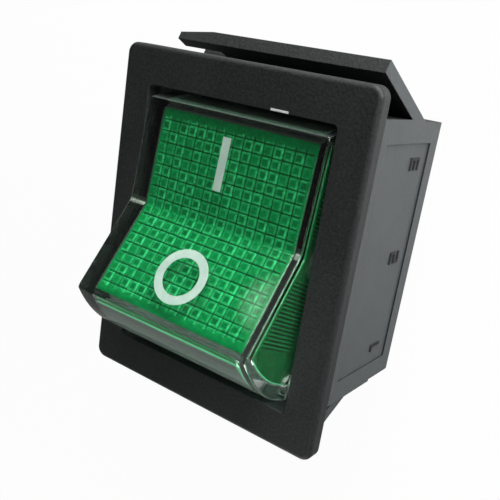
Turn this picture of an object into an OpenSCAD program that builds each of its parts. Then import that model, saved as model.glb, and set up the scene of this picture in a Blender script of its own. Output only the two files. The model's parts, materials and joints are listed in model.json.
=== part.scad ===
// Illuminated panel rocker switch, 31 x 25 mm class, two poles, on-off.
// Frame: +Z out of the front of the panel, +Y towards the I end, origin at the centre
// of the panel seat (the back face of the bezel). Millimetres.

/* [Body] */
// width of the body behind the panel
body_w = 21.8; // [21.6:0.1:24]
// length of the body behind the panel, without its wings
body_l = 25.5; // [25:0.1:28]
// depth of the body behind the panel
body_d = 16.0; // [15.8:0.1:18]
// thickness of the side walls beside the rocker
side_wall = 1.25; // [1.15:0.05:1.4]
// thickness of the end walls beside the rocker
end_wall = 0.7; // [0.6:0.05:0.9]
// thickness of the end walls beside the contacts
lower_wall = 1.75; // [1.5:0.05:1.9]
// thickness of the base that the terminals pass through
floor_t = 1.6; // [1.3:0.1:1.8]
// thickness of the wall between the two poles
mid_wall = 0.8; // [0.6:0.05:0.9]
// how far the end walls step in behind the wings' roots
rear_step = 0.2; // [0.1:0.05:0.4]

/* [Bezel] */
// how far the bezel's rim stands out past each long side of the body
rim_side = 1.85; // [1.5:0.05:2.5]
// how far the bezel's rim stands out past each end of the body
rim_end = 2.65; // [2:0.05:3.5]
// thickness of the bezel in front of the panel
bezel_t = 1.35; // [1:0.05:2.5]
// radius of the bezel's four corners
bezel_corner_r = 1.0; // [0.6:0.1:1.4]
// rounding of the bezel's front edge
bezel_edge_r = 0.4; // [0.2:0.05:0.5]
// radius of the corners of the opening the rocker stands in
opening_r = 0.4; // [0.2:0.1:1]

/* [Side panels] */
// distance of the sunk panel on each side wall from the body's ends
label_edge = 2.1; // [1.5:0.1:4]
// front edge of the sunk panel below the seat
label_front = 5.06; // [4:0.1:7]
// distance of the sunk panel's rear edge from the back of the body
label_rear = 1.64; // [1:0.1:2]
// depth of the sunk panel
label_sink = 0.15; // [0.1:0.05:0.3]
// distance of the row numbers' middles from the sunk panel's rear edge
digit_up = 2.46; // [1.4:0.02:4]
// height of the row numbers on the side wall
digit_h = 1.8; // [1:0.1:2.4]
// width of a row number
digit_w = 1.15; // [0.8:0.05:2]
// stroke width of a row number
digit_s = 0.26; // [0.15:0.01:0.35]

/* [Snap wings] */
// depth below the seat where a wing leaves the body
wing_root = 11.9; // [11:0.1:13]
// angle a free wing stands off the body
wing_angle = 26.4; // [15:0.1:30]
// length of a wing from its root to its lip
wing_len = 10.1; // [8:0.1:11]
// thickness of a wing
wing_t = 1.15; // [0.8:0.05:1.4]
// how far the eared side of a wing is set in from the body's side
wing_inset = 1.0; // [0.4:0.1:2]
// how far the other side of a wing is set in from the body's side
wing_step = 0.05; // [0.02:0.01:0.3]
// length of the free ear at the lip's set-in end
ear_l = 4.3; // [3.8:0.1:6]
// depth of the lip's ear along the wing
ear_d = 1.3; // [0.8:0.1:2]
// how far the ear reaches out past its wing
ear_out = 0.3; // [0.1:0.05:0.35]
// how much thinner the ear is at its tip
ear_taper = 0.45; // [0.2:0.05:0.7]
// length of the notch behind the ear
notch_l = 2.3; // [1:0.1:4]

/* [Rocker] */
// gap between the rocker and each side of the opening
side_gap = 0.4; // [0.2:0.05:0.6]
// gap between the rocker's ends and the ends of the opening
end_gap = 0.45; // [0.25:0.05:0.8]
// depth of the rocker's pivot below the seat
pivot_depth = 2.2; // [2.0:0.05:2.6]
// how far the rocker leans to each side of level
rocker_swing = 21.25; // [19:0.25:22]
// height of the rocker's crease above its pivot
crease_h = 5.1; // [4.9:0.05:5.6]
// slope of each half of the rocker's top
face_angle = 14.5; // [10:0.5:18]
// thickness of the clear cap at its top
cap_top_t = 1.4; // [1.2:0.05:1.5]
// thickness of the clear cap's walls
cap_wall = 1.1; // [0.9:0.05:1.2]
// thickness of the green lens under the cap
lens_t = 1.2; // [1:0.05:1.3]
// depth of the rocker's skirt below its pivot
skirt = 1.2; // [0.8:0.05:1.25]
// radius of the rocker's trunnions
trunnion_r = 1.25; // [1:0.05:1.4]
// how far a trunnion reaches into the body's side wall
trunnion_reach = 0.7; // [0.5:0.05:0.8]
// thickness of the carrier's deck
deck_t = 0.8; // [0.6:0.05:1]
// length of the carrier's deck that stands clear of the rocker's ends, each side
deck_short = 0.6; // [0.1:0.05:1.5]
// wall of the carrier's plunger tubes
tube_wall = 0.55; // [0.4:0.05:0.6]

/* [Marks] */
// distance of the on bar's middle from the cap's I end
bar_in = 4.07; // [3:0.01:6]
// width of the on bar
bar_w = 0.8; // [0.4:0.05:1.5]
// length of the on bar
bar_l = 4.5; // [2:0.1:6]
// distance of the off ring's middle from the cap's O end
ring_in = 4.22; // [3:0.01:6]
// sideways place of the off ring's middle
ring_x = 0.15; // [-1:0.05:1]
// outer diameter of the off ring
ring_d = 5.0; // [3:0.1:6]
// stroke width of the off ring
ring_s = 0.78; // [0.3:0.02:1]
// thickness of the printed marks
mark_t = 0.03; // [0.02:0.01:0.1]

/* [Contacts] */
// height of the see-saw's fulcrum above the base
fulcrum_up = 3.8; // [3.6:0.05:4]
// how far the see-saw tips to each side of level
seesaw_swing = 10; // [8:0.5:11]
// thickness of the see-saw strip
seesaw_t = 0.8; // [0.6:0.05:0.9]
// metal left in the see-saw above its fulcrum
saddle_web = 0.55; // [0.4:0.05:0.7]
// half the angle that the see-saw's saddle spans
saddle_half = 46; // [40:1:50]
// how far the moving contact's middle stands in from its terminal
contact_in = 1.8; // [1.6:0.1:2.2]
// how far the contact arm reaches past the contact's middle
arm_past = 1.0; // [0.9:0.05:1.2]
// how far the see-saw's idle arm stops short of the third row
idle_in = 1.4; // [0.8:0.1:2.2]
// radius of the silver contacts
contact_r = 1.4; // [1.1:0.05:1.5]
// thickness of the moving contact
disc_h = 0.8; // [0.5:0.05:0.9]
// height of the fixed contact's dome above its shelf
dome_h = 1.0; // [0.8:0.05:1.2]
// radius of the fixed contact's dome
dome_r = 3.5; // [3:0.1:6]
// radius of the contacts' rivet shanks
shank_r = 0.7; // [0.5:0.05:0.8]
// radius of the rivets' closed heads
head_r = 1.0; // [0.9:0.05:1.2]
// thickness of the rivets' closed heads
head_h = 0.3; // [0.2:0.05:0.35]

/* [Plungers] */
// radius of the plunger's nose
nose_r = 0.9; // [0.8:0.05:1]
// radius of the plunger's collar
collar_r = 1.45; // [1.35:0.05:1.5]
// length of the plunger's collar
collar_l = 2.2; // [1.8:0.1:2.4]
// how far the middle of the nose stands out below the collar
nose_out = 1.65; // [1.5:0.05:1.8]
// how far the carrier's tube reaches past the collar
tube_past = 0.4; // [0.2:0.05:0.5]
// length of the stub that centres the spring on the plunger
stub_l = 1.1; // [0.6:0.1:1.4]
// wire radius of the plunger springs
plunger_wire_r = 0.2; // [0.12:0.01:0.22]
// turns of the plunger springs
plunger_turns = 5; // [4:1:7]

/* [Terminals] */
// width of a push-on tab
tab_w = 6.3; // [4.8:0.1:6.3]
// thickness of a push-on tab
tab_t = 0.8; // [0.6:0.05:1]
// length of a push-on tab behind the body
tab_l = 8.0; // [6:0.1:9.5]
// length of the chamfer at a tab's tip
tab_tip = 1.0; // [0.5:0.1:1.5]
// distance of a tab's latch hole from its tip
tab_hole_up = 3.4; // [2.8:0.1:4]
// radius of a tab's latch hole
tab_hole_r = 0.8; // [0.6:0.05:1]
// distance of the outer terminal rows from the cavity's end walls
row_in = 2.2; // [2:0.1:2.5]
// gap between a terminal's blade and the tower of the lamp springs
blade_gap = 0.15; // [0.1:0.05:0.4]
// thickness of the fork that keeps the see-saw on its terminal
fork_t = 0.4; // [0.3:0.05:0.5]
// height of the fork above the fulcrum
fork_h = 1.6; // [1.2:0.1:2]
// depth of the third row's blind slots
blind_d = 0.6; // [0.3:0.1:1]

/* [Lamp] */
// radius of the lamp
lamp_r = 1.5; // [1.2:0.05:1.55]
// depth of the lamp's base below the pivot
lamp_base = 2.0; // [1.8:0.05:2.2]
// radius of the rocker's lamp contacts about the pivot
pad_r = 4.2; // [4:0.05:4.4]
// half the angle that a lamp contact spans
pad_half = 40; // [34:1:44]
// thickness of the lamp contacts and of the strips on the base
strip_t = 0.3; // [0.2:0.05:0.4]
// width of the lamp contacts and of the strips
strip_w = 1.2; // [1:0.05:1.3]
// mean radius of the lamp contact springs
lamp_coil_r = 0.5; // [0.4:0.05:0.5]
// wire radius of the lamp contact springs
lamp_wire_r = 0.12; // [0.08:0.01:0.14]
// turns of the lamp contact springs
lamp_turns = 12; // [8:1:14]
// radius of the lamp's and the resistor's leads
lead_r = 0.22; // [0.15:0.01:0.25]
// distance of the resistor's body from the middle of the load terminals
res_in = 1.6; // [1:0.1:2]
// distance of the resistor's bent lead from the tower of the lamp springs
res_out = 1.3; // [0.7:0.1:1.6]
// radius of the resistor's body
res_r = 0.6; // [0.4:0.05:0.65]

/* [Fits] */
// clearance between fixed pieces
fit = 0.05; // [0.02:0.01:0.1]
// running clearance of the trunnions, plungers and see-saws
run = 0.05; // [0.02:0.01:0.1]
// clearance kept between faces that press together
touch = 0.05; // [0.02:0.01:0.08]
// clearance of a terminal in its slot
slot_fit = 0.03; // [0.02:0.01:0.08]

/* [Hidden] */
$fn = 48;

// how far a cutter or a sunk root runs past the face it meets
over = 0.1;
far = 20;
bezel_w = body_w + 2*rim_side;
bezel_l = body_l + 2*rim_end;
opening_w = body_w - 2*side_wall;
opening_l = body_l - 2*end_wall;
cavity_half = body_l/2 - lower_wall;
floor_z = floor_t - body_d;
pivot_z = -pivot_depth;
fulcrum_z = floor_z + fulcrum_up;
row_y = cavity_half - row_in;
contact_y = row_y - contact_in;
idle_l = row_y - idle_in;

// rocker shells: the clear cap, the green lens inside it and the carrier inside the lens
cap_w = opening_w - 2*side_gap;
cap_r = opening_l/2 - end_gap;
lens_w = cap_w - 2*cap_wall - 2*fit;
lens_r = cap_r - cap_wall - fit;
inner_w = lens_w - 2*lens_t;
inner_r = lens_r - lens_t;
inner_h = crease_h - (cap_top_t + fit + lens_t)/cos(face_angle);
deck_top = inner_h - 3*fit;
deck_half = sqrt(inner_r*inner_r - deck_top*deck_top) - deck_short;
// length of each half of the cap's top, from the crease to the end's curve
face_end = (sqrt(cap_r*cap_r - pow(crease_h*cos(face_angle), 2)) - crease_h*sin(face_angle));
bar_y = face_end - bar_in;
ring_y = face_end - ring_in;
// lowest point that the pressed rocker reaches, its stops and the step in the cavity
rocker_low = pivot_z - sqrt(cap_r*cap_r - skirt*skirt)*sin(rocker_swing) - skirt*cos(rocker_swing);
stop_z = rocker_low - touch;
stop_t = 1.2;
stop_w = 2.4;
step_z = rocker_low - 1;

// plungers run in tubes of the carrier, one for each pole
bore_r = collar_r + run;
tube_r = bore_r + tube_wall;
pole_x = inner_w/2 - tube_r - fit;
spring_r = bore_r - 0.15 - plunger_wire_r;

// see-saw: a saddle that follows the plunger's nose, from the nose's path at full lean
saddle_top = tab_t/2 + run + saddle_web;
nose_h = saddle_top + nose_r + touch;
span = pivot_z - fulcrum_z;
nose_c = span - nose_h;
collar_top = nose_c - nose_out - collar_l;
tube_end = collar_top + collar_l + tube_past;
nose_dy = nose_c*sin(rocker_swing);
nose_dz = span - nose_c*cos(rocker_swing);
path_y = nose_dy*cos(seesaw_swing) - nose_dz*sin(seesaw_swing);
path_z = nose_dy*sin(seesaw_swing) + nose_dz*cos(seesaw_swing) - nose_h;
path_r = (path_y*path_y + path_z*path_z)/(2*path_z);
saddle_r = path_r + nose_r + touch;
saddle_c = saddle_top + saddle_r;
arm_z = saddle_c - saddle_r*cos(saddle_half);
arm_l = contact_y + arm_past;
// the idle arm rests on a rib near its end
rest_y = idle_l - 0.4;
rest_t = 0.8;
rest_z = fulcrum_z + (arm_z - seesaw_t)/cos(seesaw_swing) - rest_y*tan(seesaw_swing) - touch;

// fixed contact: its dome's centre lies square below the shut moving contact
disc_z = arm_z - seesaw_t - disc_h;
dome_y = -contact_y*cos(seesaw_swing) - disc_z*sin(seesaw_swing) + sin(seesaw_swing)*(dome_r + touch);
dome_z = fulcrum_z - contact_y*sin(seesaw_swing) + disc_z*cos(seesaw_swing)
  - cos(seesaw_swing)*(dome_r + touch);
shelf_z = dome_z + dome_r - dome_h;

// lamp contacts: pads round about the pivot, and the springs that stand under them
lamp_x = mid_wall/2 + fit + strip_w/2;
lamp_tip_z = pivot_z - pad_r - touch;
strip_z = floor_z + strip_t;
guide_r = lamp_coil_r + lamp_wire_r + 0.1;
tower_x = lamp_x + guide_r + 0.18;
tower_y = 1.5;
tower_z = lamp_tip_z - 2;
block_y = pad_r*sin(pad_half);
lamp_hole_r = lamp_r + 0.15;
blade_w = 2*(pole_x - tower_x - blade_gap);
seesaw_w = blade_w - 2*fork_t - 4*fit;
res_x = mid_wall/2 + fit + res_r + 0.15;
res_z = floor_z + res_r + 0.2;
res_y = res_in - row_y;
bend_y = -tower_y - res_out;
res_end = bend_y - strip_w;

BLACK = [0.13, 0.13, 0.14];
BRASS = [0.80, 0.66, 0.32];
COPPER = [0.78, 0.46, 0.30];
SILVER = [0.82, 0.82, 0.80];
STEEL = [0.62, 0.62, 0.63];
WHITE = [0.92, 0.92, 0.90];
CLEAR = [0.80, 0.90, 0.86, 0.35];
GREEN = [0.05, 0.60, 0.32];
TINT = [0.65, 0.95, 0.75];
TAN = [0.75, 0.70, 0.55];

// ---------- helpers ----------
// 2D in the YZ plane, drawn out along X from x0 to x1
module yz(x0, x1) { translate([x0, 0, 0]) rotate([90, 0, 90]) linear_extrude(x1 - x0) children(); }
// 2D in the XZ plane, drawn out along Y from y0 to y1
module xz(y0, y1) { translate([0, y1, 0]) rotate([90, 0, 0]) linear_extrude(y1 - y0) children(); }
// a box from its lowest corner a to its highest corner b
module box(a, b) { translate(a) cube(b - a); }
// rods: along X and along Z from one end to the other, and along Y back from the origin
module rod_x(x0, x1, r) { translate([x0, 0, 0]) rotate([0, 90, 0]) cylinder(h = x1 - x0, r = r); }
module rod_y(l, r) { rotate([90, 0, 0]) cylinder(h = l, r = r); }
module rod_z(z0, z1, r) { translate([0, 0, z0]) cylinder(h = z1 - z0, r = r); }
// a wedge that points down from the origin, half degrees to each side
module sector(half) { polygon([[0, 0], [-far*tan(half), -far], [far*tan(half), -far]]); }
module rounded(w, l, r) {
  square([w - 2*r, l], center = true);
  square([w, l - 2*r], center = true);
  for (x = [-1, 1], y = [-1, 1]) translate([x*(w/2 - r), y*(l/2 - r)]) circle(r);
}
// the rocker's own frame at rest: the I end is pressed in
module in_rocker() { translate([0, 0, pivot_z]) rotate([-rocker_swing, 0, 0]) children(); }
// the frame of a half of the rocker's top: I side with side = 1, O side with side = -1
module on_face(side) { in_rocker() translate([0, 0, crease_h]) rotate([side*face_angle, 0, 0]) children(); }
// the see-saw's own frame at rest: its contact arm is down
module in_seesaw(s) { translate([s*pole_x, 0, fulcrum_z]) rotate([seesaw_swing, 0, 0]) children(); }
// a wing's own frame: Z runs up its outer face, Y points away from the body
module in_wing() { translate([0, body_l/2, -wing_root]) rotate([-wing_angle, 0, 0]) children(); }

// ---------- housing ----------
// the bezel's section across one of its sides, with its rounded front edge
module bezel_section(half) {
  translate([-half, 0]) square([2*half, bezel_t - bezel_edge_r]);
  translate([-half + bezel_edge_r, 0]) square([2*half - 2*bezel_edge_r, bezel_t]);
  for (s = [-1, 1]) translate([s*(half - bezel_edge_r), bezel_t - bezel_edge_r]) circle(bezel_edge_r);
}
module bezel() {
  corner_x = bezel_w/2 - bezel_corner_r;
  corner_y = bezel_l/2 - bezel_corner_r;
  yz(-corner_x, corner_x) bezel_section(bezel_l/2);
  xz(-corner_y, corner_y) bezel_section(bezel_w/2);
  for (x = [-1, 1], y = [-1, 1]) translate([x*corner_x, y*corner_y, 0]) rotate_extrude() {
    square([bezel_corner_r, bezel_t - bezel_edge_r]);
    square([bezel_corner_r - bezel_edge_r, bezel_t]);
    translate([bezel_corner_r - bezel_edge_r, bezel_t - bezel_edge_r]) circle(bezel_edge_r);
  }
}
// one snap wing, on the I side: a plate with a free ear at one end of its lip
module wing() {
  plate_x = -body_w/2 + wing_inset;
  ear_x = plate_x - ear_out;
  taper_l = ear_l - 0.7;
  in_wing() difference() {
    union() {
      box([plate_x, -wing_t, -5*over], [body_w/2 - wing_step, 0, wing_len]);
      box([ear_x, -wing_t, wing_len - ear_d], [plate_x + over, 0, wing_len]);
    }
    box([ear_x - over, -wing_t - over, wing_len - ear_d - notch_l], [ear_x + ear_l, over, wing_len - ear_d]);
    // the ear thins towards its tip
    translate([0, 0, wing_len - ear_d - over]) linear_extrude(ear_d + 2*over)
      polygon([[ear_x + taper_l, 0], [ear_x - over, -ear_taper*(taper_l + over)/taper_l],
        [ear_x - over, 1], [ear_x + taper_l, 1]]);
  }
}
// one stroke of a row number, standing on the sunk panel and just under the wall's face
module digit_stroke(y0, y1, z0, z1) {
  box([body_w/2 - label_sink - over/2, y0, z0], [body_w/2 - label_sink/5, y1, z1]);
}
// row numbers: upright towards the bezel, read towards the I end
module digit(n) {
  w = digit_w;
  h = digit_h;
  s = digit_s;
  if (n == 1) {
    digit_stroke(-s/2, s/2, -h/2, h/2);
    digit_stroke(-w/2, 0, h/2 - s, h/2);
  } else {
    for (z = [-h/2, -s/2, h/2 - s]) digit_stroke(-w/2, w/2, z, z + s);
    digit_stroke(w/2 - s, w/2, 0, h/2);
    if (n == 2) digit_stroke(-w/2, -w/2 + s, -h/2, 0);
    if (n == 3) digit_stroke(w/2 - s, w/2, -h/2, 0);
  }
}
// what is cut out of the body: the rocker's opening, the cavity, sockets, slots and panels
module housing_cuts() {
  translate([0, 0, step_z]) linear_extrude(bezel_t - step_z + 1) rounded(opening_w, opening_l, opening_r);
  box([-opening_w/2, -cavity_half, floor_z], [opening_w/2, cavity_half, step_z + over]);
  socket_x = opening_w/2 + trunnion_reach + 2*fit;
  translate([0, 0, pivot_z]) rod_x(-socket_x, socket_x, trunnion_r + run);
  label_half = body_l/2 - label_edge;
  for (s = [-1, 1]) box([s*body_w/2 - label_sink, -label_half, label_rear - body_d],
    [s*body_w/2 + label_sink, label_half, -label_front]);
  for (x = [-pole_x, pole_x]) {
    for (y = [0, -row_y]) translate([x, y, -body_d + floor_t/2])
      cube([tab_w + 2*slot_fit, tab_t + 2*slot_fit, floor_t + 1], center = true);
    translate([x, row_y, -body_d]) cube([tab_w, tab_t, 2*blind_d], center = true);
  }
}
// wall between the poles, and the tower that guides the lamp springs
module partition() difference() {
  union() {
    box([-mid_wall/2, -cavity_half - over, floor_z - over], [mid_wall/2, cavity_half + over, tower_z - 0.8]);
    box([-tower_x, -tower_y, floor_z - over], [tower_x, tower_y, tower_z]);
  }
  for (x = [-lamp_x, lamp_x]) {
    translate([x, 0, 0]) rod_z(floor_z, tower_z + 1, guide_r);
    box([x - strip_w/2 - fit, -tower_y - 1, floor_z], [x + strip_w/2 + fit, tower_y + 1, strip_z + fit]);
  }
}
module housing() color(BLACK) {
  difference() {
    union() {
      bezel();
      box([-body_w/2, -body_l/2, -wing_root - over], [body_w/2, body_l/2, over]);
      box([-body_w/2, rear_step - body_l/2, -body_d], [body_w/2, body_l/2 - rear_step, over - wing_root]);
      wing();
      rotate([0, 0, 180]) wing();
    }
    housing_cuts();
  }
  partition();
  for (s = [-1, 1]) {
    // rib under the idle arm, and stops under the rocker's ends
    box([s*pole_x - seesaw_w/2, rest_y - rest_t, floor_z - over], [s*pole_x + seesaw_w/2, rest_y, rest_z]);
    for (end = [0, 180]) rotate([0, 0, end])
      box([s*pole_x - stop_w/2, cavity_half - stop_t, floor_z - over],
        [s*pole_x + stop_w/2, cavity_half + over, stop_z]);
  }
  for (i = [1, 2, 3]) translate([0, (i - 2)*row_y, label_rear + digit_up - body_d]) digit(i);
}

// ---------- rocker ----------
// section of a rocker shell: a circle about the pivot under two sloping faces, set in by
// drop from the cap's faces and reaching low below the pivot
module rocker_section(r, drop, low) {
  crease = crease_h - drop/cos(face_angle);
  rise = crease + far*tan(face_angle);
  intersection() {
    circle(r, $fn = 96);
    polygon([[-far, -low], [far, -low], [far, rise], [0, crease], [-far, rise]]);
  }
}
// slots over the carrier's trunnions, open downwards
module trunnion_slots() {
  slot_x = cap_wall + lens_t + 1;
  for (s = [-1, 1]) translate([s*cap_w/2, 0, 0]) {
    rod_x(-slot_x, slot_x, trunnion_r + fit);
    box([-slot_x, -trunnion_r - fit, -skirt - 1], [slot_x, trunnion_r + fit, 0]);
  }
}
module rocker_cap() color(CLEAR) in_rocker() difference() {
  yz(-cap_w/2, cap_w/2) rocker_section(cap_r, 0, skirt);
  yz(-cap_w/2 + cap_wall, cap_w/2 - cap_wall) rocker_section(cap_r - cap_wall, cap_top_t, skirt + 1);
  trunnion_slots();
}
module rocker_lens() color(GREEN) in_rocker() difference() {
  yz(-lens_w/2, lens_w/2) rocker_section(lens_r, cap_top_t + fit, skirt);
  yz(-inner_w/2, inner_w/2) rocker_section(inner_r, cap_top_t + fit + lens_t, skirt + 1);
  trunnion_slots();
}
// deck with two plunger tubes, cheeks that carry the trunnions, and the lamp's block
module rocker_carrier() color(WHITE) in_rocker() difference() {
  union() {
    box([-inner_w/2 + fit, -deck_half, deck_top - deck_t], [inner_w/2 - fit, deck_half, deck_top]);
    for (side = [0, 180]) rotate([0, 0, side]) {
      translate([pole_x, 0, 0]) rod_z(-tube_end, deck_top, tube_r);
      box([inner_w/2 - 1.1, -trunnion_r, -trunnion_r], [inner_w/2 - 2*fit, trunnion_r, deck_top]);
      rod_x(pole_x, opening_w/2 + trunnion_reach, trunnion_r);
    }
    intersection() {
      box([-tower_x, -block_y, -pad_r], [tower_x, block_y, deck_top - over]);
      rod_x(-tower_x - 1, tower_x + 1, pad_r - strip_t - fit/2);
    }
  }
  for (s = [-1, 1]) {
    translate([s*pole_x, 0, 0]) rod_z(-far, deck_top - deck_t, bore_r);
    translate([s*lamp_x, 0, 0]) rod_z(-pad_r - 1, -1, lead_r + 0.1);
  }
  rod_z(-lamp_base - fit, far, lamp_hole_r);
}
module mark_on() color(WHITE) on_face(1)
  translate([-bar_w/2, bar_y - bar_l/2, 0]) cube([bar_w, bar_l, mark_t]);
module mark_off() color(WHITE) on_face(-1) translate([ring_x, -ring_y, 0]) difference() {
  rod_z(0, mark_t, ring_d/2);
  rod_z(-1, 1, ring_d/2 - ring_s);
}

// ---------- plungers and springs ----------
module plunger(s) color(WHITE) in_rocker() translate([s*pole_x, 0, 0]) {
  translate([0, 0, -nose_c]) sphere(nose_r);
  rod_z(-nose_c, -collar_top, nose_r);
  rod_z(-collar_top - collar_l, -collar_top, collar_r);
  rod_z(-collar_top - 1, stub_l - collar_top, spring_r - plunger_wire_r - 0.2);
}
// a coil spring: a round wire swept along a helix from z0 up to z1
module coil(r, wire_r, z0, z1, turns, per = 14, ring = 6) {
  n = turns*per;
  climb = (z1 - z0 - 2*wire_r)/n;
  points = [for (i = [0:n], j = [0:ring - 1]) let (a = 360*i/per, b = 360*j/ring, q = r + wire_r*cos(b))
    [q*cos(a), q*sin(a), z0 + wire_r + climb*i + wire_r*sin(b)]];
  sides = [for (i = [0:n - 1], j = [0:ring - 1]) let (k = (j + 1)%ring)
    [i*ring + j, i*ring + k, (i + 1)*ring + k, (i + 1)*ring + j]];
  ends = [[for (j = [ring - 1:-1:0]) j], [for (j = [0:ring - 1]) n*ring + j]];
  polyhedron(points, concat(sides, ends), convexity = 10);
}
module plunger_spring(s) color(STEEL) in_rocker() translate([s*pole_x, 0, 0])
  coil(spring_r, plunger_wire_r, touch/2 - collar_top, deck_top - deck_t - touch/2, plunger_turns);
module lamp_spring(s) color(STEEL) translate([s*lamp_x, 0, 0])
  coil(lamp_coil_r, lamp_wire_r, strip_z + touch/2, lamp_tip_z, lamp_turns);

// ---------- contacts ----------
// the see-saw's strip: a saddle between two level arms, notched over its fulcrum
module seesaw_section() {
  saddle_y = saddle_r*sin(saddle_half);
  difference() {
    union() {
      intersection() {
        translate([0, saddle_c]) difference() {
          circle(saddle_r + seesaw_t, $fn = 96);
          circle(saddle_r, $fn = 96);
        }
        translate([0, saddle_c]) sector(saddle_half);
      }
      translate([saddle_y, arm_z - seesaw_t]) square([idle_l - saddle_y, seesaw_t]);
      translate([-arm_l, arm_z - seesaw_t]) square([arm_l - saddle_y, seesaw_t]);
    }
    circle(tab_t/2 + run);
  }
}
module seesaw(s) color(COPPER) in_seesaw(s) difference() {
  yz(-seesaw_w/2, seesaw_w/2) seesaw_section();
  translate([0, -contact_y, 0]) rod_z(arm_z - 2, arm_z + 2, shank_r + fit/2);
}
module moving_contact(s) color(SILVER) in_seesaw(s) translate([0, -contact_y, 0]) {
  rod_z(disc_z, disc_z + disc_h, contact_r);
  rod_z(disc_z, arm_z + head_h, shank_r);
  rod_z(arm_z, arm_z + head_h, head_r);
}
module fixed_contact(s) color(SILVER) translate([s*pole_x, dome_y, 0]) {
  intersection() {
    rod_z(shelf_z, shelf_z + 2*dome_h, contact_r);
    translate([0, 0, dome_z]) sphere(dome_r, $fn = 96);
  }
  rod_z(shelf_z - tab_t - head_h, shelf_z + over, shank_r);
  rod_z(shelf_z - tab_t - head_h, shelf_z - tab_t, head_r);
}
// push-on tab with chamfered tip and latch hole, in the XZ plane through y = 0
module tab() difference() {
  tip_z = -body_d - tab_l;
  xz(-tab_t/2, tab_t/2) polygon([
    [-tab_w/2, floor_z], [tab_w/2, floor_z], [tab_w/2, tip_z + tab_tip], [tab_w/2 - 0.9*tab_tip, tip_z],
    [-tab_w/2 + 0.9*tab_tip, tip_z], [-tab_w/2, tip_z + tab_tip]]);
  translate([0, tab_t, tip_z + tab_hole_up]) rod_y(2*tab_t, tab_hole_r);
}
module common_terminal(s) color(BRASS) translate([s*pole_x, 0, 0]) {
  tab();
  box([-blade_w/2, -tab_t/2, floor_z - over], [blade_w/2, tab_t/2, fulcrum_z]);
  translate([0, 0, fulcrum_z]) rod_x(-blade_w/2, blade_w/2, tab_t/2);
  for (k = [-1, 1]) box([k*(blade_w - fork_t)/2 - fork_t/2, -tab_t/2, fulcrum_z - over],
    [k*(blade_w - fork_t)/2 + fork_t/2, tab_t/2, fulcrum_z + fork_h]);
}
module load_terminal(s) color(BRASS) translate([s*pole_x, -row_y, 0]) {
  contact_at = row_y + dome_y;
  tab();
  box([-blade_w/2, -tab_t/2, floor_z - over], [blade_w/2, tab_t/2, shelf_z]);
  difference() {
    box([fork_t - blade_w/2, -tab_t/2, shelf_z - tab_t],
      [blade_w/2 - fork_t, contact_at + contact_r, shelf_z]);
    translate([0, contact_at, 0]) rod_z(shelf_z - 2*tab_t, shelf_z + tab_t, shank_r + fit/2);
  }
}

// ---------- lamp ----------
module lamp() color(TINT) in_rocker() {
  dome_at = deck_top - lamp_r - over;
  rod_z(-lamp_base, 0.6 - lamp_base, lamp_r + 0.1);
  rod_z(-lamp_base, dome_at, lamp_r);
  translate([0, 0, dome_at]) sphere(lamp_r);
}
module lamp_leads() color(STEEL) in_rocker() for (x = [-lamp_x, lamp_x])
  translate([x, 0, 0]) rod_z(strip_t + fit/5 - pad_r, -lamp_base - fit/5, lead_r);
module lamp_pad(s) color(BRASS) in_rocker() yz(s*lamp_x - strip_w/2, s*lamp_x + strip_w/2) intersection() {
  difference() {
    circle(pad_r);
    circle(pad_r - strip_t);
  }
  sector(pad_half);
}
// strip from the load terminal's foot to the left lamp spring
module lamp_strip_left() color(BRASS) {
  box([-lamp_x - strip_w/2, -row_y - tab_t/2, floor_z], [-lamp_x + strip_w/2, strip_w/2, strip_z]);
  box([-pole_x + blade_w/2 + fit, -row_y - tab_t/2, floor_z], [-lamp_x, tab_t/2 - row_y, strip_z]);
}
// strip from the resistor's lead to the right lamp spring
module lamp_strip_right() color(BRASS)
  box([lamp_x - strip_w/2, bend_y - strip_w/2, floor_z], [lamp_x + strip_w/2, strip_w/2, strip_z]);
module resistor() color(TAN) translate([res_x, res_end, res_z]) rod_y(res_end - res_y, res_r);
// leads from the resistor down to its strip, and across to the right load terminal
module resistor_leads() color(STEEL) {
  translate([res_x, bend_y, res_z]) rod_y(strip_w, lead_r);
  translate([res_x, bend_y, res_z]) sphere(lead_r);
  translate([res_x, bend_y, 0]) rod_z(strip_z + fit/5, res_z, lead_r);
  translate([res_x, res_y, res_z]) rod_y(res_y + row_y, lead_r);
  translate([res_x, -row_y, res_z]) sphere(lead_r);
  translate([0, -row_y, res_z]) rod_x(res_x, pole_x - blade_w/2 - fit/5, lead_r);
}

housing();
rocker_cap();
rocker_lens();
rocker_carrier();
mark_on();
mark_off();
plunger(-1);  // plunger_left
plunger(1);  // plunger_right
plunger_spring(-1);  // plunger_spring_left
plunger_spring(1);  // plunger_spring_right
seesaw(-1);  // seesaw_left
seesaw(1);  // seesaw_right
moving_contact(-1);  // moving_contact_left
moving_contact(1);  // moving_contact_right
common_terminal(-1);  // common_terminal_left
common_terminal(1);  // common_terminal_right
load_terminal(-1);  // load_terminal_left
load_terminal(1);  // load_terminal_right
fixed_contact(-1);  // fixed_contact_left
fixed_contact(1);  // fixed_contact_right
lamp();
lamp_leads();
lamp_pad(-1);  // lamp_pad_left
lamp_pad(1);  // lamp_pad_right
lamp_spring(-1);  // lamp_spring_left
lamp_spring(1);  // lamp_spring_right
lamp_strip_left();
lamp_strip_right();
resistor();
resistor_leads();
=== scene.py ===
"""Panel rocker switch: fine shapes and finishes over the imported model.

Lengths in the classes are in millimetres and turn to metres where a mesh, a
light or a pattern is made. The row frame has X across the switch, Y along it
towards the I end and Z out of the panel, with Z = 0 on the panel's face.
"""

import json
import logging
import math
from dataclasses import dataclass, field
from enum import Enum
from functools import partial
from typing import Callable

import bpy
import numpy as np
from mathutils import Matrix, Vector


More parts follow.
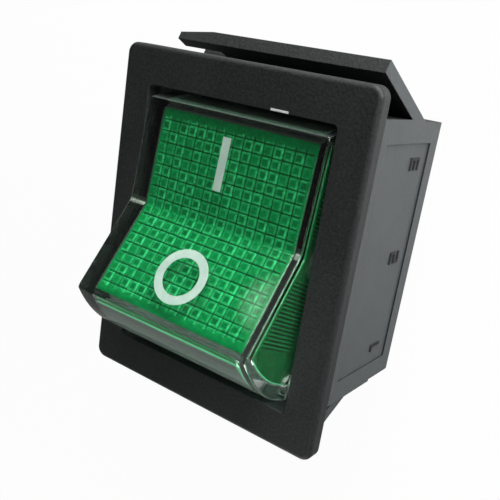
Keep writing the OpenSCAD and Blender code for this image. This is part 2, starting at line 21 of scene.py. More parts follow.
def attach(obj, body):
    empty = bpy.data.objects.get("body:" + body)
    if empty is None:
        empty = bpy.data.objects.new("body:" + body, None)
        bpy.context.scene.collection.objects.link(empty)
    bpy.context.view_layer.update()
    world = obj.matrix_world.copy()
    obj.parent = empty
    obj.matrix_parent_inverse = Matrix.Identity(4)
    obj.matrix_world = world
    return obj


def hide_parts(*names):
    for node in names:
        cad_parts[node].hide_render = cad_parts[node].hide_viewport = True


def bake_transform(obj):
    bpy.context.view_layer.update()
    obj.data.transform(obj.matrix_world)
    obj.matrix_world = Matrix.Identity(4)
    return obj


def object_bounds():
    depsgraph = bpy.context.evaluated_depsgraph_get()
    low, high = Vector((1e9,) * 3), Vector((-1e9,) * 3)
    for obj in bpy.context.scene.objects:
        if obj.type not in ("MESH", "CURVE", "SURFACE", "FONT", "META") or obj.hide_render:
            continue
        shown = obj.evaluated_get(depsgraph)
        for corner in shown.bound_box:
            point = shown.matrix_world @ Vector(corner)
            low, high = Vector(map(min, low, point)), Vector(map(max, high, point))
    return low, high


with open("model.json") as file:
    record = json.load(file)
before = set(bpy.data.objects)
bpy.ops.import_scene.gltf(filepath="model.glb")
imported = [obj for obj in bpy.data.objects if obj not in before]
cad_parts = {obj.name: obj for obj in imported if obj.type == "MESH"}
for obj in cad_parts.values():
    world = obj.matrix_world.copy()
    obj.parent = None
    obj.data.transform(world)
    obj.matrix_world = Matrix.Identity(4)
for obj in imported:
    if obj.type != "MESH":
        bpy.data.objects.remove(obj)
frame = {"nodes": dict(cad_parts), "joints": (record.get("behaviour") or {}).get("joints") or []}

LOG = logging.getLogger("rocker_switch")
MM = 0.001
CAD_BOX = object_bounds()
WHITE = (1.0, 1.0, 1.0, 1.0)
Span = tuple[float, float]
Triple = tuple[float, float, float]
Adder = Callable[..., bpy.types.Node]  # add, bound to one node tree


# ---------- helpers ----------
def linear(code: str) -> tuple[float, float, float, float]:
    """Turns an sRGB hex colour into linear light.

    Args:
        code: Six hex digits, such as "2b2b2d".

    Returns:
        Red, green, blue and alpha, each from 0 to 1.
    """
    srgb = np.array([int(code[i:i + 2], 16) for i in (0, 2, 4)]) / 255
    light = np.where(srgb <= 0.04045, srgb / 12.92, ((srgb + 0.055) / 1.055) ** 2.4)
    return (*(float(c) for c in light), 1.0)


def per_mm(size: float) -> float:
    """Gives the texture scale whose features are about size millimetres across."""
    return 1.0 / (size * MM)


def add(
    tree: bpy.types.NodeTree, kind: str, inputs: dict | None = None, **settings: object
) -> bpy.types.Node:
    """Adds one shader node, with its settings, its input values and its links.

    In a colour Mix node, input 6 is the first colour, input 7 the second and
    output 2 the result.

    Args:
        tree: The node tree it goes into.
        kind: The node's type name, without the leading ShaderNode.
        inputs: By input name or number, a constant, a socket to link, or a node
            whose first output is linked.
        **settings: The node's own properties.

    Returns:
        The new node.
    """
    made = tree.nodes.new("ShaderNode" + kind)
    for name, value in settings.items():
        setattr(made, name, value)
    for key, value in (inputs or {}).items():
        source = value.outputs[0] if isinstance(value, bpy.types.Node) else value
        if isinstance(source, bpy.types.NodeSocket):
            tree.links.new(source, made.inputs[key])
        else:
            made.inputs[key].default_value = source
    return made


def new_material(name: str) -> tuple[bpy.types.Material, Adder]:
    """Makes an empty node material.

    Args:
        name: The finish's name.

    Returns:
        The material, and add bound to its node tree.
    """
    material = bpy.data.materials.new(name)
    material.use_nodes = True
    material.node_tree.nodes.clear()
    return material, partial(add, material.node_tree)


def dress(piece: bpy.types.Object, material: bpy.types.Material) -> None:
    """Puts one material on the whole of a piece."""
    piece.data.materials.clear()
    piece.data.materials.append(material)


def mesh_piece(name: str, points: np.ndarray, faces: np.ndarray) -> bpy.types.Object:
    """Makes an object at the origin from points and four-sided faces.

    Args:
        name: The piece's name.
        points: N x 3 places in metres, in the row frame.
        faces: M x 4 point numbers, anticlockwise from outside.

    Returns:
        The linked object.
    """
    mesh = bpy.data.meshes.new(name)
    mesh.vertices.add(len(points))
    mesh.vertices.foreach_set("co", points.astype(np.float32).ravel())
    mesh.loops.add(faces.size)
    mesh.loops.foreach_set("vertex_index", faces.astype(np.int32).ravel())
    mesh.polygons.add(len(faces))
    mesh.polygons.foreach_set("loop_start", np.arange(0, faces.size, 4, dtype=np.int32))
    mesh.update(calc_edges=True)
    mesh.validate()
    piece = bpy.data.objects.new(name, mesh)
    bpy.context.scene.collection.objects.link(piece)
    return piece


def grid_faces(number: np.ndarray, flip: bool) -> np.ndarray:
    """Joins a grid of points by four-sided faces.

    Args:
        number: Rows x columns point numbers; two rows make a strip.
        flip: True turns the faces to the other side.

    Returns:
        (rows - 1) * (columns - 1) faces of four point numbers.
    """
    ring = [number[:-1, :-1], number[:-1, 1:], number[1:, 1:], number[1:, :-1]]
    return np.stack(ring[::-1] if flip else ring, axis=-1).reshape(-1, 4)


def node_points(name: str) -> np.ndarray:
    """Reads a CAD node's points at rest.

    Args:
        name: The node's name.

    Returns:
        N x 3 places in millimetres.
    """
    mesh = frame["nodes"][name].data
    points = np.zeros(len(mesh.vertices) * 3, np.float32)
    mesh.vertices.foreach_get("co", points)
    return points.reshape(-1, 3).astype(float) / MM


# ---------- finishes ----------
@dataclass(frozen=True)
class SparkErodedNylon:
    """Glass-filled nylon moulded in a spark-eroded tool, the housing's black.

    Gives the eye a soft charcoal with a fine speckle on the front, and smoother side walls
    with a painted sheen for the light they pick up.
    """

    dark: str = "08090a"
    light: str = "222626"
    pale: str = "5c6263"  # painted sheen of the side walls, for the light they pick up
    rubbed: str = "303232"
    # painted shade of the raised figures
    figure_shade: str = "060606"
    # painted highlight on the opening's edge
    glint_colour: str = "d4d8d7"
    grain: float = 0.22  # the tool's pits are about 0.05 mm; drawn coarser so that they show
    flow: float = 5.0  # flow marks of the melt
    front_rough: float = 0.6
    wall_rough: float = 0.36
    painted_sheen_share: Span = (0.1, 0.65)  # share of painted sheen at the panel's face, and below it
    wall_fade: float = 0.4
    edge: float = 0.12  # radius that moulding leaves on every edge
    figure_at: float = 10.78  # just above the sunk panels' plane, across the switch
    figure_y: float = 10.5
    figure_z: Span = (-14.3, -5.2)
    # the box of the painted highlight on the opening's edge
    glint_x: Span = (3.5, 5.2)
    glint_y: Span = (11.95, 12.25)
    glint_z: Span = (1.1, 1.5)

    def within(self, node: Adder, tests: list[tuple]) -> bpy.types.Node:
        """Multiplies tests of place into one mask.

        Args:
            node: Adds a node to the material.
            tests: For each test its source, its Math operation and its bound.

        Returns:
            The node that gives 1 where every test holds, and else 0.
        """
        mask = None
        for source, operation, bound in tests:
            part = node("Math", {0: source, 1: bound * MM}, operation=operation)
            mask = part if mask is None else node(
                "Math", {0: mask, 1: part}, operation="MULTIPLY")
        return mask

    def material(self) -> bpy.types.Material:
        """Builds the speckled charcoal, then the walls' painted sheen, the edges, the figures'
        painted shade and a painted highlight on the opening's edge.

        Returns:
            The material.
        """
        made, node = new_material("spark_eroded_nylon")
        at = node("TexCoord").outputs
        where = node("SeparateXYZ", {0: at["Object"]})
        facing = node("SeparateXYZ", {0: at["Normal"]})
        speckle = node("TexNoise", {
            "Vector": at["Object"], "Scale": per_mm(self.grain), "Detail": 3.0, "Roughness": 0.6})
        flow = node("TexNoise", {
            "Vector": at["Object"], "Scale": per_mm(self.flow), "Detail": 4.0, "Distortion": 0.6})
        tone = node("MapRange", {"Value": speckle, "From Min": 0.36, "From Max": 0.66})
        colour = node("Mix", {
            0: tone, 6: linear(self.dark), 7: linear(self.light)}, data_type="RGBA")
        # walls: the side faces drag less grain off the tool than the front, and carry a painted
        # sheen for the light they pick up
        turn = node("Math", {0: facing.outputs["X"]}, operation="ABSOLUTE")
        wall = node("MapRange", {"Value": turn, "From Min": 0.5, "From Max": 0.9})
        below_panel = node("MapRange", {
            "Value": where.outputs["Z"], "From Max": -self.wall_fade * MM,
            "To Min": self.painted_sheen_share[0], "To Max": self.painted_sheen_share[1]})
        painted_sheen = node("Math", {0: wall, 1: below_panel}, operation="MULTIPLY")
        rough = node("MapRange", {
            "Value": wall, "To Min": self.front_rough, "To Max": self.wall_rough})
        rough_flow = node("MapRange", {
            "Value": flow, "From Min": 0.3, "From Max": 0.7, "To Min": -0.05, "To Max": 0.05})
        rough_all = node("Math", {0: rough, 1: rough_flow}, operation="ADD")
        # edges: rubbed paler where the rounded normal leaves the flat one
        soft = node("Bevel", {"Radius": self.edge * MM}, samples=6)
        flat = node("NewGeometry")
        meet = node("VectorMath", {0: soft, 1: flat.outputs["Normal"]}, operation="DOT_PRODUCT")
        rub = node("MapRange", {
            "Value": meet.outputs["Value"], "From Min": 0.999, "From Max": 0.9, "To Max": 0.5})
        # figures: raised strokes on the sunk panels, painted darker than the grain round them as
        # painted shade
        across = node("Math", {0: where.outputs["X"]}, operation="ABSOLUTE")
        along = node("Math", {0: where.outputs["Y"]}, operation="ABSOLUTE")
        raised = self.within(node, [
            (across, "GREATER_THAN", self.figure_at),
            (along, "LESS_THAN", self.figure_y),
            (where.outputs["Z"], "GREATER_THAN", self.figure_z[0]),
            (where.outputs["Z"], "LESS_THAN", self.figure_z[1])])
        shaded_stroke = node("Math", {0: raised, 1: wall}, operation="MULTIPLY")
        # painted highlight: a short pale dash on the opening's edge, where a glint shows on it
        edge_glint = self.within(node, [
            (where.outputs[axis], operation, bound)
            for axis, bounds in (("X", self.glint_x), ("Y", self.glint_y), ("Z", self.glint_z))
            for operation, bound in zip(("GREATER_THAN", "LESS_THAN"), bounds)])
        # the walls' painted sheen, rubbed edges, the figures' painted shade and the painted
        # highlight on the opening's edge
        for mask, code in ((painted_sheen, self.pale), (rub, self.rubbed),
                           (shaded_stroke, self.figure_shade), (edge_glint, self.glint_colour)):
            colour = node("Mix", {
                0: mask, 6: colour.outputs[2], 7: linear(code)}, data_type="RGBA")
        bump = node("Bump", {
            "Height": speckle, "Normal": soft, "Strength": 0.7, "Distance": 0.04 * MM})
        shader = node("BsdfPrincipled", {
            "Base Color": colour.outputs[2], "Roughness": rough_all, "Normal": bump, "IOR": 1.53})
        node("OutputMaterial", {0: shader})
        return made


@dataclass(frozen=True)
class PolishedClearCap:
    """Clear polycarbonate moulded in a polished tool, the rocker's outer cap.

    Gives the eye glassy edges with thin light lines over the green below, a
    faint haze inside the walls and a milky blush on the ends.
    """

    tint: str = "f2faf5"
    shade: str = "e6f2ea"  # colour of the light that passes on to the lens
    milk: str = "c8dcd2"  # colour of the haze and the blush
    scuff: float = 0.9  # patches of hairline scuffs from fingers
    rough: Span = (0.01, 0.04)
    haze: Span = (0.008, 0.027)  # share of milk inside the walls, by the scuffs
    blush: float = 0.09  # share of milk on the ends

    def material(self) -> bpy.types.Material:
        """Builds clear refraction with haze and blush, and lets light on to the lens.

        Returns:
            The material.
        """
        made, node = new_material("polished_clear_polycarbonate")
        at = node("TexCoord").outputs
        facing = node("SeparateXYZ", {0: at["Normal"]})
        scuff = node("TexNoise", {
            "Vector": at["Object"], "Scale": per_mm(self.scuff), "Detail": 6.0, "Roughness": 0.7})
        rough = node("MapRange", {
            "Value": scuff, "From Min": 0.45, "From Max": 0.75,
            "To Min": self.rough[0], "To Max": self.rough[1]})
        bump = node("Bump", {"Height": scuff, "Strength": 0.05, "Distance": 0.01 * MM})
        clear = node("BsdfPrincipled", {
            "Base Color": linear(self.tint), "Transmission Weight": 1.0, "IOR": 1.5,
            "Roughness": rough, "Normal": bump})
        # haze: inside the walls, less polished than the face and scuffed in blotches
        upright = node("Math", {0: facing.outputs["Z"]}, operation="ABSOLUTE")
        wall = node("MapRange", {"Value": upright, "From Min": 0.78, "From Max": 0.7})
        blotch = node("MapRange", {
            "Value": scuff, "From Min": 0.35, "From Max": 0.68,
            "To Min": self.haze[0], "To Max": self.haze[1]})
        side = node("NewGeometry")
        inner_wall = node("Math", {0: wall, 1: side.outputs["Backfacing"]}, operation="MULTIPLY")
        haze = node("Math", {0: inner_wall, 1: blotch}, operation="MULTIPLY")
        # blush: on the ends, where the melt came in
        endward = node("Math", {0: facing.outputs["Y"]}, operation="ABSOLUTE")
        blush = node("MapRange", {
            "Value": endward, "From Min": 0.66, "From Max": 0.78, "To Max": self.blush})
        share = node("Math", {0: haze, 1: blush}, operation="MAXIMUM")
        milky = node("BsdfDiffuse", {"Color": linear(self.milk)})
        hazy = node("MixShader", {0: share, 1: clear, 2: milky})
        passing = node("BsdfTransparent", {"Color": linear(self.shade)})
        path = node("LightPath")
        both = node("MixShader", {0: path.outputs["Is Shadow Ray"], 1: hazy, 2: passing})
        node("OutputMaterial", {0: both})
        return made


@dataclass(frozen=True)
class TintedPrismLens:
    """Green polycarbonate moulded with a grid of small prisms, the rocker's inner lens.

    Gives the eye a lively green, with a painted glint on the prisms' rims, painted shade
    in their pits and in the seams between them, ends painted pale as painted light, and
    fine ribs down the sides drawn with painted shade and light. The ribs are placed in the
    rocker's own frame, by the lean, the pivot's height and the face's angle.
    """

    lean: float
    pivot_z: float
    face_angle: float
    top: str = "076f3b"
    # painted shade in the seams and pits
    seam_shade: str = "012a16"
    glint_flank: str = "3cbf7a"  # painted glint on the prisms' rims
    glint: str = "4fe08f"  # glints come up through the green, so they are green too
    side: str = "04582a"
    # painted light: the ends are drawn pale where light comes in
    end: str = "7af0b4"
    # painted shade and light of the ribs
    rib_shade: str = "001206"
    rib_light: str = "0a7038"
    mottle: float = 0.35  # uneven depth of the tint
    mottle_share: float = 0.6
    rib_pitch: float = 0.33
    rib_y: Span = (1.8, 7.7)  # the band's reach along each half of a side
    rib_z: Span = (0.3, 3.1)  # its foot above the pivot, and its top at the crease
    rib_fade: float = 0.1

    def ribs(
        self, node: Adder, at: bpy.types.NodeSocket, side: bpy.types.NodeSocket
    ) -> tuple[bpy.types.Node, bpy.types.NodeSocket]:
        """Adds a band of ribs down the middle of each side, under each half of the face.

        The band's top rises with the face, by the distance along times the
        tangent of its angle. A wave's bands repeat every pi / 10 at scale 1.

        Args:
            node: Adds a node to the material.
            at: The place on the piece.
            side: The mark of the two sides.

        Returns:
            The node that gives 1 on the band, and the wave's socket, from 0 to 1.
        """
        move = (0.0, self.pivot_z * MM * math.sin(self.lean),
                -self.pivot_z * MM * math.cos(self.lean))
        level = node("Mapping", {
            "Vector": at, "Rotation": (self.lean, 0.0, 0.0), "Location": move})
        place = node("SeparateXYZ", {0: level})
        wave = node("TexWave", {
            "Vector": level, "Scale": per_mm(self.rib_pitch) * math.pi / 10, "Detail": 0.0},
            bands_direction="Y")
        away = node("Math", {0: place.outputs["Y"]}, operation="ABSOLUTE")
        fall = node("Math", {
            0: away, 1: -math.tan(self.face_angle), 2: place.outputs["Z"]},
            operation="MULTIPLY_ADD")
        band = side
        for value, stop, fade in (
            (away, self.rib_y[0], -self.rib_fade),
            (away, self.rib_y[1], self.rib_fade),
            (fall, self.rib_z[1], self.rib_fade),
            (place.outputs["Z"], self.rib_z[0], -self.rib_fade),
        ):
            ramp = node("MapRange", {
                "Value": value, "From Min": (stop + fade) * MM, "From Max": stop * MM})
            band = node("Math", {0: band, 1: ramp}, operation="MULTIPLY")
        return band, wave.outputs["Fac"]

    def material(self) -> bpy.types.Material:
        """Builds the prisms, ends and sides from the mesh's marks, then the ribs.

        Returns:
            The material.
        """
        made, node = new_material("tinted_prism_polycarbonate")
        at = node("TexCoord").outputs
        relief, glint_paint, rib, end = (
            node("Attribute", attribute_name=mark).outputs["Fac"]
            for mark in ("relief", "glint_paint", "rib", "end"))
        mottle = node("TexNoise", {
            "Vector": at["Object"], "Scale": per_mm(self.mottle), "Detail": 4.0, "Roughness": 0.7})
        # prisms: painted shade, a dark green, in the seams and pits, and a painted glint on the
        # rims
        seam = node("MapRange", {
            "Value": relief, "From Min": 0.15, "From Max": 1.0, "To Max": 0.95})
        body = node("Mix", {0: seam, 6: linear(self.top), 7: linear(self.seam_shade)}, data_type="RGBA")
        blotch = node("MapRange", {
            "Value": mottle, "From Min": 0.3, "From Max": 0.7, "To Min": 0.3, "To Max": 1.4})
        # painted glint on the rims, uneven across the cells by the mottle
        glint_strength = node("Math", {0: glint_paint, 1: blotch}, operation="MULTIPLY")
        lit = node("Mix", {0: glint_strength, 6: body.outputs[2], 7: linear(self.glint_flank)}, data_type="RGBA")
        body = node("Mix", {
            0: self.mottle_share, 6: lit.outputs[2], 7: mottle}, data_type="RGBA",
            blend_type="OVERLAY")
        # the ends drawn pale as painted light; the sides in their own green
        for mask, code in ((end, self.end), (rib, self.side)):
            body = node("Mix", {0: mask, 6: body.outputs[2], 7: linear(code)}, data_type="RGBA")
        band, wave = self.ribs(node, at["Object"], rib)
        # painted shade and light across each rib, following the wave, besides the bump
        comb = node("Mix", {
            0: wave, 6: linear(self.rib_shade), 7: linear(self.rib_light)}, data_type="RGBA")
        combed = node("Mix", {0: band, 6: body.outputs[2], 7: comb.outputs[2]}, data_type="RGBA")
        height = node("Math", {0: band, 1: wave}, operation="MULTIPLY")
        bump = node("Bump", {"Height": height, "Strength": 0.8, "Distance": 0.05 * MM})
        shader = node("BsdfPrincipled", {
            "Base Color": combed.outputs[2], "Normal": bump, "IOR": 1.58, "Roughness": 0.1,
            "Transmission Weight": 0.15, "Specular Tint": linear(self.glint)})
        node("OutputMaterial", {0: shader})
        return made


@dataclass(frozen=True)
class GrainedFinish:
    """A solid finish: one fine noise drives its bump, and its colour between two tones."""

    name: str
    pale: str
    dark: str
    rough: Span
    grain: float  # drawn coarser than the real grain, which is too fine to show
    ior: float = 1.5
    metallic: float = 0.0
    bump: float = 0.1
    stretch: Triple = (1.0, 1.0, 1.0)  # below 1 draws the grain out along that axis
    edge: float = 0.05
    stain: float = 12.0  # size of the stains, in grains

    def material(self) -> bpy.types.Material:
        """Builds the grain and the stains, and softens the edges.

        Returns:
            The material.
        """
        made, node = new_material(self.name)
        at = node("TexCoord").outputs
        drawn = node("Mapping", {"Vector": at["Object"], "Scale": self.stretch})
        grain = node("TexNoise", {
            "Vector": drawn, "Scale": per_mm(self.grain), "Detail": 4.0, "Roughness": 0.6})
        stain = node("TexNoise", {
            "Vector": at["Object"], "Scale": per_mm(self.grain * self.stain), "Detail": 2.0})
        both = node("Math", {0: grain, 1: stain}, operation="ADD")
        tone = node("MapRange", {"Value": both, "From Min": 0.8, "From Max": 1.2})
        colour = node("Mix", {
            0: tone, 6: linear(self.dark), 7: linear(self.pale)}, data_type="RGBA")
        rough = node("MapRange", {"Value": tone, "To Min": self.rough[0], "To Max": self.rough[1]})
        soft = node("Bevel", {"Radius": self.edge * MM}, samples=4)
        bump = node("Bump", {
            "Height": grain, "Normal": soft, "Strength": self.bump, "Distance": 0.02 * MM})
        shader = node("BsdfPrincipled", {
            "Base Color": colour.outputs[2], "Roughness": rough, "Normal": bump,
            "Metallic": self.metallic, "IOR": self.ior})
        node("OutputMaterial", {0: shader})
        return made


class Finish(Enum):
    """The solid finishes of the inner pieces, the tabs and the marks."""

    # milky white with a slight sheen
    ACETAL = GrainedFinish("moulded_white_acetal", "e9e8e2", "dcdbd3", (0.3, 0.42), 0.15, 1.48)
    # cream, a little duller than the acetal
    NYLON = GrainedFinish("moulded_natural_nylon", "e4e0d0", "d6d0bc", (0.34, 0.46), 0.12, 1.53)
    # bright grey wire
    SPRING = GrainedFinish("drawn_spring_steel", "b9bbbd", "96999c", (0.2, 0.34), 0.05,
                           metallic=1.0)
    # warm red metal with rolling marks along the strip
    COPPER = GrainedFinish("rolled_copper_strip", "c98a63", "a96f4c", (0.25, 0.4), 0.06,
                           metallic=1.0, stretch=(1.0, 0.15, 1.0))
    # pale bright rivet heads
    SILVER = GrainedFinish("cold_headed_silver_alloy", "dcdcda", "c3c3bf", (0.2, 0.32), 0.06,
                           metallic=1.0)
    # yellow metal with rolling marks down the tabs
    BRASS = GrainedFinish("stamped_brass_strip", "e2ca88", "cbb06c", (0.24, 0.38), 0.07,
                          metallic=1.0, stretch=(1.0, 1.0, 0.12), edge=0.08)
    # flat pale ink, greenish over the lens
    INK = GrainedFinish("pad_printed_white_ink", "a9bfb3", "98b0a4", (0.45, 0.6), 0.1,
                        bump=0.2, edge=0.01)
    # glossy pale green bead
    EPOXY = GrainedFinish("cast_tinted_epoxy", "bfe8cc", "a4d8b6", (0.08, 0.14), 0.4, 1.54,
                          bump=0.03)
    # tan coat with a soft gloss
    LACQUER = GrainedFinish("dipped_resistor_lacquer", "c9b98c", "b7a678", (0.25, 0.4), 0.1)


NODE_FINISH: dict[str, Finish] = {
    "rocker_carrier": Finish.ACETAL,
    "mark_on": Finish.INK,
    "mark_off": Finish.INK,
    "plunger": Finish.NYLON,
    "seesaw": Finish.COPPER,
    "moving_contact": Finish.SILVER,
    "fixed_contact": Finish.SILVER,
    "common_terminal": Finish.BRASS,
    "load_terminal": Finish.BRASS,
    "lamp_pad": Finish.BRASS,
    "lamp_strip": Finish.BRASS,
    "lamp_spring": Finish.SPRING,
    "lamp_leads": Finish.SPRING,
    "lamp": Finish.EPOXY,
    "resistor": Finish.LACQUER,
    "resistor_leads": Finish.SPRING,
}


# ---------- rocker ----------
@dataclass(frozen=True)
class RockerPose:
    """Where the rocker stands at rest: its pivot in the row frame, and its lean about it."""

    pivot: Triple
    lean: float

    def to_rocker(self, points: np.ndarray) -> np.ndarray:
        """Moves points into the rocker's own frame: off the pivot, then turned by the lean.

        Args:
            points: N x 3 places in the row frame at rest.

        Returns:
            The same points in the rocker's frame.
        """
        y, z = points[:, 1] - self.pivot[1], points[:, 2] - self.pivot[2]
        c, s = math.cos(self.lean), math.sin(self.lean)
        return np.stack([points[:, 0], y * c - z * s, y * s + z * c], axis=-1)

    def to_row(self, points: np.ndarray) -> np.ndarray:
        """Moves points into the row frame at rest: turned back, then put on the pivot.

        Args:
            points: N x 3 places in the rocker's frame.

        Returns:
            The same points in the row frame.
        """
        y, z = points[:, 1], points[:, 2]
        c, s = math.cos(self.lean), math.sin(self.lean)
        return np.stack([points[:, 0], y * c + z * s + self.pivot[1],
                         z * c - y * s + self.pivot[2]], axis=-1)


@dataclass
class ShellSkin:
    """One skin of a rocker shell in the rocker's own frame, whose origin is its pivot.

    The section is a circle about the pivot under two faces that slope up from a
    crease; the sides are flat and carry a slot over each trunnion.
    """

    half: float  # half the width
    radius: float
    crease: float  # height of the crease above the pivot
    skirt: float  # drop of the skirt below the pivot
    face_angle: float
    edge: float
    slot: float  # radius of the trunnion's slot
    fold: float  # rounding of the crease
    merge_edges: float = 2.2  # edge radii over which the circle and a face merge
    least_rise: float = 0.02  # below this the face lies too far off to count
    far_off: float = 99.0

    @property
    def merge(self) -> float:
        """Gives the length over which the circle and a face merge."""
        return self.merge_edges * self.edge

    @property
    def face_length(self) -> float:
        """Gives the length of one sloping face, from the crease to the end's curve."""
        lift = self.crease * math.cos(self.face_angle)
        return math.sqrt(self.radius ** 2 - lift ** 2) - self.crease * math.sin(self.face_angle)

    def outline(self, angle: np.ndarray, inset: float) -> np.ndarray:
        """Gives the distance of the outline from the pivot in each direction.

        The distance is the lesser of the circle's radius and of the face's
        distance, crease / (sin - |cos| tan(face angle)), both drawn in by the
        inset. A smooth minimum rounds the corner where they meet, and a root of
        squares in place of |cos| rounds the crease.

        Args:
            angle: Directions in radians from the I end.
            inset: How far the section is drawn in.

        Returns:
            Distances in millimetres.
        """
        rounded = np.sqrt(np.cos(angle) ** 2 + (self.fold / self.crease) ** 2)
        rise = np.sin(angle) - rounded * math.tan(self.face_angle)
        level = self.crease - inset / math.cos(self.face_angle)
        face = np.where(rise > self.least_rise, level / np.maximum(rise, self.least_rise),
                        self.far_off)
        arc = self.radius - inset
        near = np.clip(self.merge - np.abs(face - arc), 0, None) / self.merge
        return np.minimum(face, arc) - near * near * self.merge / 4

    def slot_line(self, angle: np.ndarray) -> np.ndarray:
        """Gives the slot's outline: an arch of the slot's radius on two straight legs.

        Args:
            angle: Directions in radians from the I end.

        Returns:
            For each direction, the point's Y and Z.
        """
        low = np.arcsin(self.skirt / self.radius)
        leg = np.clip(np.where(angle < 0, -angle, angle - math.pi), 0, None) / low
        arch = np.clip(angle, 0, math.pi)
        return np.stack(
            [self.slot * np.cos(arch), self.slot * np.sin(arch) - leg * self.skirt], axis=-1)


@dataclass
class Relief:
    """The grid of small prisms on the lens's two faces."""

    pitch_along: float = 1.0
    pitch_across: float = 1.0
    depth: float = 0.14  # of a seam below the face
    rim: float = 0.74  # the raised rim's place between a cell's middle, 0, and its seam, 1
    well: float = 0.4  # the flat bottom's place inside the rim
    pit: float = 0.45  # what chance adds to a pit's depth, as a share of a seam's
    pit_least: float = 0.2  # a pit's least depth, as a share of that
    border_end: float = 0.55  # plain border at the ends of the faces, and at the sides
    border_side: float = 0.25
    border_ramp: float = 0.15
    steps: int = 10  # mesh steps in a cell
    stir: tuple[float, float, float, float] = (437.58, 12.99, 78.23, 4.1)  # for chance
    ring_in: float = 0.02  # how far the ring of painted glint lies inside the rim
    ring_width: float = 0.24
    glint_by_flank: Triple = (1.0, 0.4, 0.6)  # painted glint on the +X side of a cell, which faces the light, on the -X side and on the other sides
    glint_least: float = 0.3
    glint_chance: float = 1.1

    def cells(
        self, along: np.ndarray, across: np.ndarray
    ) -> tuple[np.ndarray, np.ndarray, np.ndarray]:
        """Gives each point's place in its cell, and a chance number for the cell.

        The chance number is the fraction left by a large multiple of a sine of
        the cell's row and column, so it is the same on each run.

        Args:
            along: Distance from the crease along the face.
            across: Distance from the middle, across the rocker.

        Returns:
            Place along and place across, from -1 to 1, and chance, from 0 to 1,
            each with one row for each distance along the face.
        """
        row, column = along[:, None] / self.pitch_along, across[None, :] / self.pitch_across
        place_s, place_x = np.broadcast_arrays(
            2 * np.mod(row, 1.0) - 1, 2 * np.mod(column, 1.0) - 1)
        large, by_row, by_column, start = self.stir
        turn = np.floor(row) * by_row + np.floor(column) * by_column + start
        return place_s, place_x, np.mod(large * np.sin(turn), 1.0)

    def inside(
        self, along: np.ndarray, across: np.ndarray, length: float, half: float
    ) -> np.ndarray:
        """Gives 1 on the relief and 0 on the plain border round it, over a short ramp.

        Args:
            along: Distance from the crease along the face.
            across: Distance from the middle, across the rocker.
            length: The face's length.
            half: Half the rocker's width.

        Returns:
            Shares from 0 to 1, one row for each distance along the face.
        """
        end = np.clip((length - along - self.border_end) / self.border_ramp, 0, 1)
        side = np.clip((half - np.abs(across) - self.border_side) / self.border_ramp, 0, 1)
        return end[:, None] * side[None, :]

    def marks(self, along: np.ndarray, across: np.ndarray) -> tuple[np.ndarray, np.ndarray]:
        """Gives the relief's depth below the face, and the strength of the painted glint.

        With far the greater of the two distances from the cell's middle, the
        depth falls straight from 1 at the seam to 0 on the rim, rises straight to
        the pit's depth at the well, and stays there. The painted glint is greatest
        just inside the rim and falls straight to 0 on both sides over the ring's
        width. Each side of the cell has its own painted glint, most on the +X one,
        which faces the light, and chance varies pits and rims.

        Args:
            along: Distance from the crease along the face.
            across: Distance from the middle, across the rocker.

        Returns:
            Depths from 0 to 1 and the painted glint's strength, each with one row for
            each distance along the face.
        """
        place_s, place_x, chance = self.cells(along, across)
        far = np.maximum(np.abs(place_s), np.abs(place_x))
        seam = (far - self.rim) / (1 - self.rim)
        pit = self.pit * (self.pit_least + chance)
        slope = np.clip((self.rim - far) / (self.rim - self.well), 0, 1)
        ring = np.clip(1 - np.abs(far - self.rim + self.ring_in) / self.ring_width, 0, 1)
        right, left, other = self.glint_by_flank
        glint_flank = np.where(np.abs(place_x) > np.abs(place_s),
                         np.where(place_x > 0, right, left), other)
        glint_strength = ring * glint_flank * (self.glint_least + self.glint_chance * chance)
        return np.where(far > self.rim, seam, pit * slope), glint_strength


